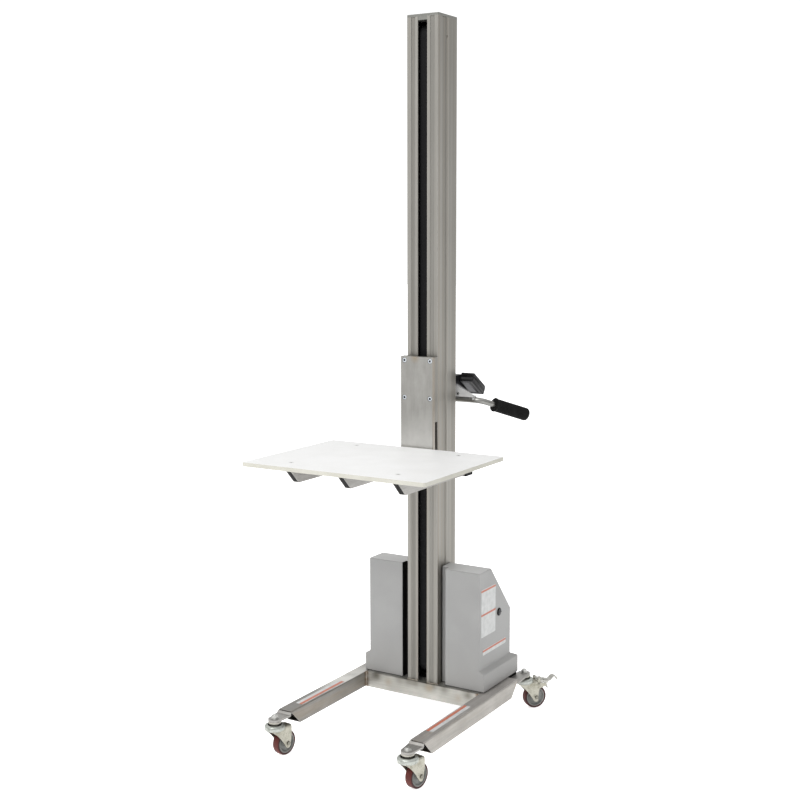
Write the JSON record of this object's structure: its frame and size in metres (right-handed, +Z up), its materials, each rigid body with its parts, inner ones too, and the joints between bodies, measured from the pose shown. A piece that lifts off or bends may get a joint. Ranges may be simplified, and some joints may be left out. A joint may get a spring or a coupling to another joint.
{
  "type": "mast lift truck",
  "caption": "Hand-pushed battery mast lifter: slotted column on a castered leg frame, with a flat platform on a carriage that slides up and down.",
  "frame": {"origin": "on the floor under the middle of the overall bounding box", "axes": "+Z up along the mast, +X to the right seen from the platform side, -Y towards the platform, +Y towards the handles"},
  "size_m": [0.6238, 0.88, 2.19],
  "materials": {
    "satin_steel": "satin stainless tube with a faint warm cast",
    "zinc": "bright zinc plated pressings",
    "bolt_zinc": "zinc plated fasteners",
    "mast_alloy": "satin anodised extrusion",
    "carriage_alloy": "brushed plate",
    "inner_alloy": "machined",
    "housing_paint": "satin mid grey",
    "pan_dark": "matt black",
    "gear_paint": "satin",
    "belt_black": "matt",
    "cap_black": "matt",
    "glide_plastic": "matt",
    "board_white": "satin white laminate with a beige edge",
    "label_white": "blank white with a plain orange band",
    "grip_rubber": "matt",
    "control_black": "satin",
    "control_grey": "satin",
    "button_grey": "satin",
    "tyre_red": "dark red-brown tyre",
    "core_grey": "satin",
    "battery_case": "satin",
    "bracket_grey": "satin light grey"
  },
  "bodies": {
    "base": {"leg_left": "satin_steel", "leg_right": "satin_steel", "front_cross_tube": "satin_steel", "rear_cross_tube": "satin_steel", "mast_foot": "satin_steel", "caster_tongues": "satin_steel", "caster_bolts": "bolt_zinc", "mast": "mast_alloy", "mast_cap": "mast_alloy", "drive_belt": "belt_black", "housing_cover": "housing_paint", "housing_floor": "pan_dark", "batteries": "battery_case", "gearbox": "gear_paint", "drive_motor": "gear_paint", "switch_bezel": "control_black", "label_plates": "label_white", "handlebar": "satin_steel", "grip_right": "grip_rubber", "grip_left": "grip_rubber", "handle_bracket": "bracket_grey", "control_holder": "control_black", "control_housing": "control_black", "control_back": "control_grey", "control_face": "control_grey"},
    "carriage": {"carriage_plate": "carriage_alloy", "carriage_block": "carriage_alloy", "carriage_screws": "bolt_zinc", "trolley": "inner_alloy", "glide_pads": "glide_plastic", "cross_beam": "satin_steel", "arm_left": "satin_steel", "arm_centre": "satin_steel", "arm_right": "satin_steel", "tube_end_caps": "cap_black", "platform_board": "board_white", "board_screws": "bolt_zinc"},
    "top_pulley": {"top_pulley": "inner_alloy"},
    "drive_pulley": {"drive_pulley": "inner_alloy"},
    "up_button": {"up_button": "button_grey"},
    "down_button": {"down_button": "button_grey"},
    "power_knob": {"power_knob": "control_black"},
    "front_left_swivel": {"front_left_fork": "zinc", "front_left_axle": "bolt_zinc"},
    "front_left_roller": {"front_left_wheel": "core_grey", "front_left_tyre": "tyre_red"},
    "front_right_swivel": {"front_right_fork": "zinc", "front_right_axle": "bolt_zinc"},
    "front_right_roller": {"front_right_wheel": "core_grey", "front_right_tyre": "tyre_red"},
    "rear_left_swivel": {"rear_left_fork": "zinc", "rear_left_axle": "bolt_zinc"},
    "rear_left_roller": {"rear_left_wheel": "core_grey", "rear_left_tyre": "tyre_red"},
    "rear_left_pedal": {"rear_left_brake_pedal": "zinc"},
    "rear_right_swivel": {"rear_right_fork": "zinc", "rear_right_axle": "bolt_zinc"},
    "rear_right_roller": {"rear_right_wheel": "core_grey", "rear_right_tyre": "tyre_red"},
    "rear_right_pedal": {"rear_right_brake_pedal": "zinc"}
  },
  "joints": [
    {"name": "carriage_lift", "type": "slide", "parent": "base", "child": "carriage", "axis": [0, 0, 1], "range_m": [-0.72, 0.92]},
    {"name": "top_pulley_turn", "type": "hinge", "parent": "base", "child": "top_pulley", "pos_m": [0, 0.1233, 2.127], "axis": [-1, 0, 0], "range_deg": [-1111, 1418]},
    {"name": "drive_pulley_turn", "type": "hinge", "parent": "base", "child": "drive_pulley", "pos_m": [0, 0.1233, 0.19], "axis": [-1, 0, 0], "range_deg": [-1111, 1418]},
    {"name": "front_left_caster_swivel", "type": "hinge", "parent": "base", "child": "front_left_swivel", "pos_m": [-0.229, -0.401, 0.1], "axis": [0, 0, 1], "continuous": true},
    {"name": "front_left_wheel_spin", "type": "hinge", "parent": "front_left_swivel", "child": "front_left_roller", "pos_m": [-0.22371, -0.36337, 0.0375], "axis": [0.9903, -0.1392, 0], "continuous": true},
    {"name": "front_right_caster_swivel", "type": "hinge", "parent": "base", "child": "front_right_swivel", "pos_m": [0.229, -0.401, 0.1], "axis": [0, 0, 1], "continuous": true},
    {"name": "front_right_wheel_spin", "type": "hinge", "parent": "front_right_swivel", "child": "front_right_roller", "pos_m": [0.2356, -0.36358, 0.0375], "axis": [0.9848, -0.1736, 0], "continuous": true},
    {"name": "rear_left_caster_swivel", "type": "hinge", "parent": "base", "child": "rear_left_swivel", "pos_m": [-0.229, 0.339, 0.1], "axis": [0, 0, 1], "continuous": true},
    {"name": "rear_left_wheel_spin", "type": "hinge", "parent": "rear_left_swivel", "child": "rear_left_roller", "pos_m": [-0.25239, 0.36894, 0.0375], "axis": [0.788, 0.6157, 0], "continuous": true},
    {"name": "rear_left_brake_press", "type": "hinge", "parent": "rear_left_swivel", "child": "rear_left_pedal", "pos_m": [-0.25732, 0.37525, 0.097], "axis": [-0.788, -0.6157, 0], "range_deg": [0, 13]},
    {"name": "rear_right_caster_swivel", "type": "hinge", "parent": "base", "child": "rear_right_swivel", "pos_m": [0.229, 0.339, 0.1], "axis": [0, 0, 1], "continuous": true},
    {"name": "rear_right_wheel_spin", "type": "hinge", "parent": "rear_right_swivel", "child": "rear_right_roller", "pos_m": [0.25239, 0.36894, 0.0375], "axis": [0.788, -0.6157, 0], "continuous": true},
    {"name": "rear_right_brake_press", "type": "hinge", "parent": "rear_right_swivel", "child": "rear_right_pedal", "pos_m": [0.25732, 0.37525, 0.097], "axis": [-0.788, 0.6157, 0], "range_deg": [0, 13]},
    {"name": "up_button_press", "type": "slide", "parent": "base", "child": "up_button", "axis": [0, -0.5446, -0.8387], "range_m": [0, 0.003], "stiffness_N_per_m": 600, "springref_m": -0.001},
    {"name": "down_button_press", "type": "slide", "parent": "base", "child": "down_button", "axis": [0, -0.5446, -0.8387], "range_m": [0, 0.003], "stiffness_N_per_m": 600, "springref_m": -0.001},
    {"name": "power_knob_turn", "type": "hinge", "parent": "base", "child": "power_knob", "pos_m": [0.2, 0.211, 0.354], "axis": [1, 0, 0], "range_deg": [0, 90]}
  ],
  "couplings": [
    {"joint": "top_pulley_turn", "follows": "carriage_lift", "rad_per_m": 26.81},
    {"joint": "drive_pulley_turn", "follows": "carriage_lift", "rad_per_m": 26.81}
  ]
}
